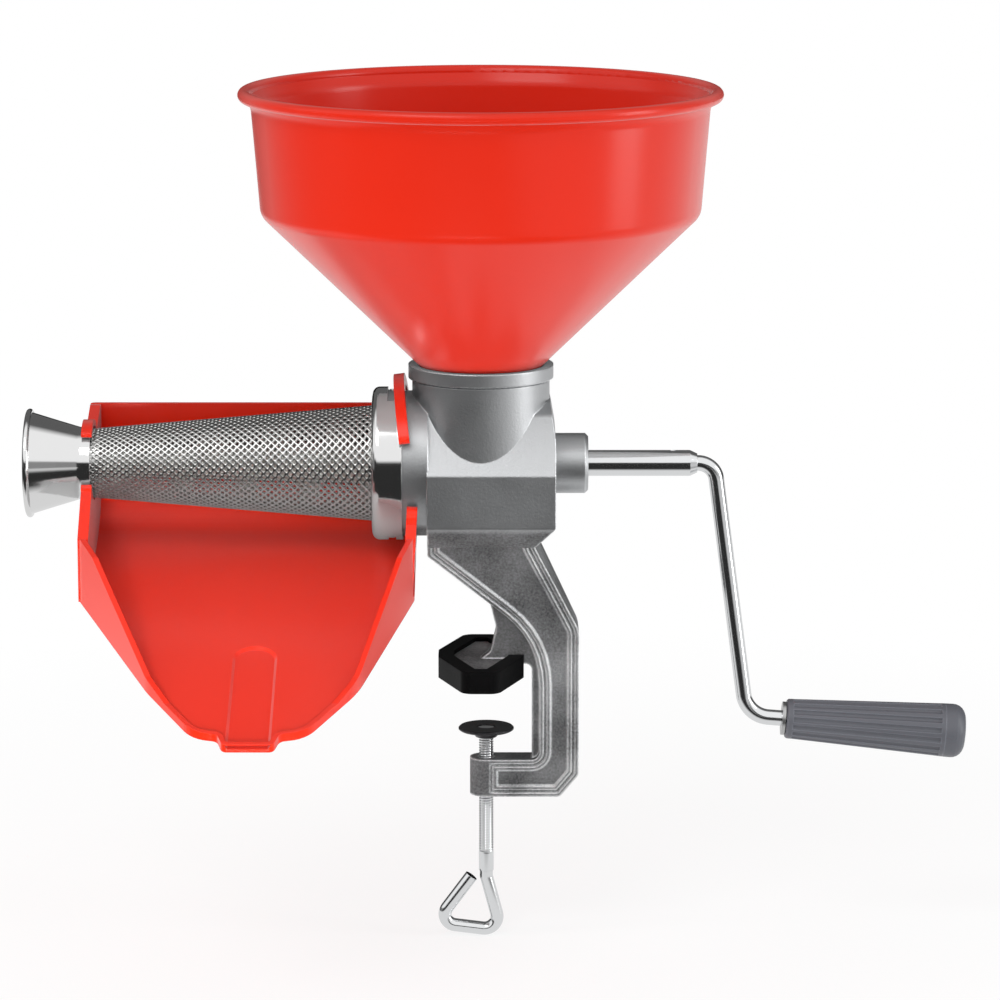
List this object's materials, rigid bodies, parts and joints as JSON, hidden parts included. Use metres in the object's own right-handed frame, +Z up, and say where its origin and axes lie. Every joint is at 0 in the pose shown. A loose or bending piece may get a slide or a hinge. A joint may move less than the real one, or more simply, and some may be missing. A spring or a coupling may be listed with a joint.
{
  "type": "food mill",
  "caption": "Hand-cranked food mill with a round hopper, a perforated cone strainer, a juice chute and a table clamp.",
  "frame": {"origin": "centre of the upper jaw's pad, on the face that lies on the table", "axes": "+X runs along the shaft to the crank, -Y is the side the chute pours to, +Z is up"},
  "size_m": [0.4479, 0.2706, 0.4108],
  "materials": {
    "red_plastic": "gloss",
    "cast_aluminium": "die-cast satin",
    "rubber": "matt",
    "strainer_steel": "perforated sheet",
    "polished_steel": "polished",
    "plated_rod": "bright plated",
    "grip_plastic": "satin",
    "white_plastic": "satin",
    "white_rubber": "matt",
    "small_steel": "plain",
    "plate_steel": "dark satin"
  },
  "bodies": {
    "frame": {"body_casting": "cast_aluminium", "jaw_pad": "rubber", "shaft_bush": "white_plastic", "shaft_seal": "rubber", "ring_gasket": "white_rubber", "bayonet_pins": "small_steel", "juice_chute": "red_plastic"},
    "hopper": {"hopper": "red_plastic"},
    "strainer": {"strainer_cone": "strainer_steel", "strainer_ring": "polished_steel", "waste_bell": "polished_steel"},
    "drive": {"drive_shaft": "plated_rod", "auger": "white_plastic", "auger_spring": "small_steel", "thrust_washer": "white_plastic", "crank_rod": "plated_rod", "crank_pin": "small_steel", "grip_washer": "small_steel", "grip_clip": "small_steel"},
    "grip": {"crank_grip": "grip_plastic", "grip_cap": "grip_plastic"},
    "plate": {"pressure_plate": "plate_steel"},
    "screw": {"clamp_screw": "plated_rod"}
  },
  "joints": [
    {"name": "crank_turn", "type": "hinge", "parent": "frame", "child": "drive", "pos_m": [0, 0, 0.103], "axis": [1, 0, 0], "continuous": true},
    {"name": "grip_spin", "type": "hinge", "parent": "drive", "child": "grip", "pos_m": [0.12725, 0, -0.0203], "axis": [0.9972, 0, -0.075], "continuous": true},
    {"name": "hopper_lift", "type": "slide", "parent": "frame", "child": "hopper", "axis": [0, 0, 1], "range_m": [0, 0.06]},
    {"name": "strainer_turn", "type": "hinge", "parent": "frame", "child": "strainer", "pos_m": [0, 0, 0.103], "axis": [-1, 0, 0], "range_deg": [0, 47]},
    {"name": "clamp_feed", "type": "slide", "parent": "frame", "child": "plate", "axis": [0, 0, 1], "range_m": [-0.0095, 0.025]},
    {"name": "screw_turn", "type": "hinge", "parent": "plate", "child": "screw", "pos_m": [0.0024, 0, -0.06], "axis": [0, 0, 1], "range_deg": [-2736, 7200]}
  ],
  "couplings": [
    {"joint": "clamp_feed", "follows": "screw_turn", "m_per_rad": 0.00019894}
  ]
}
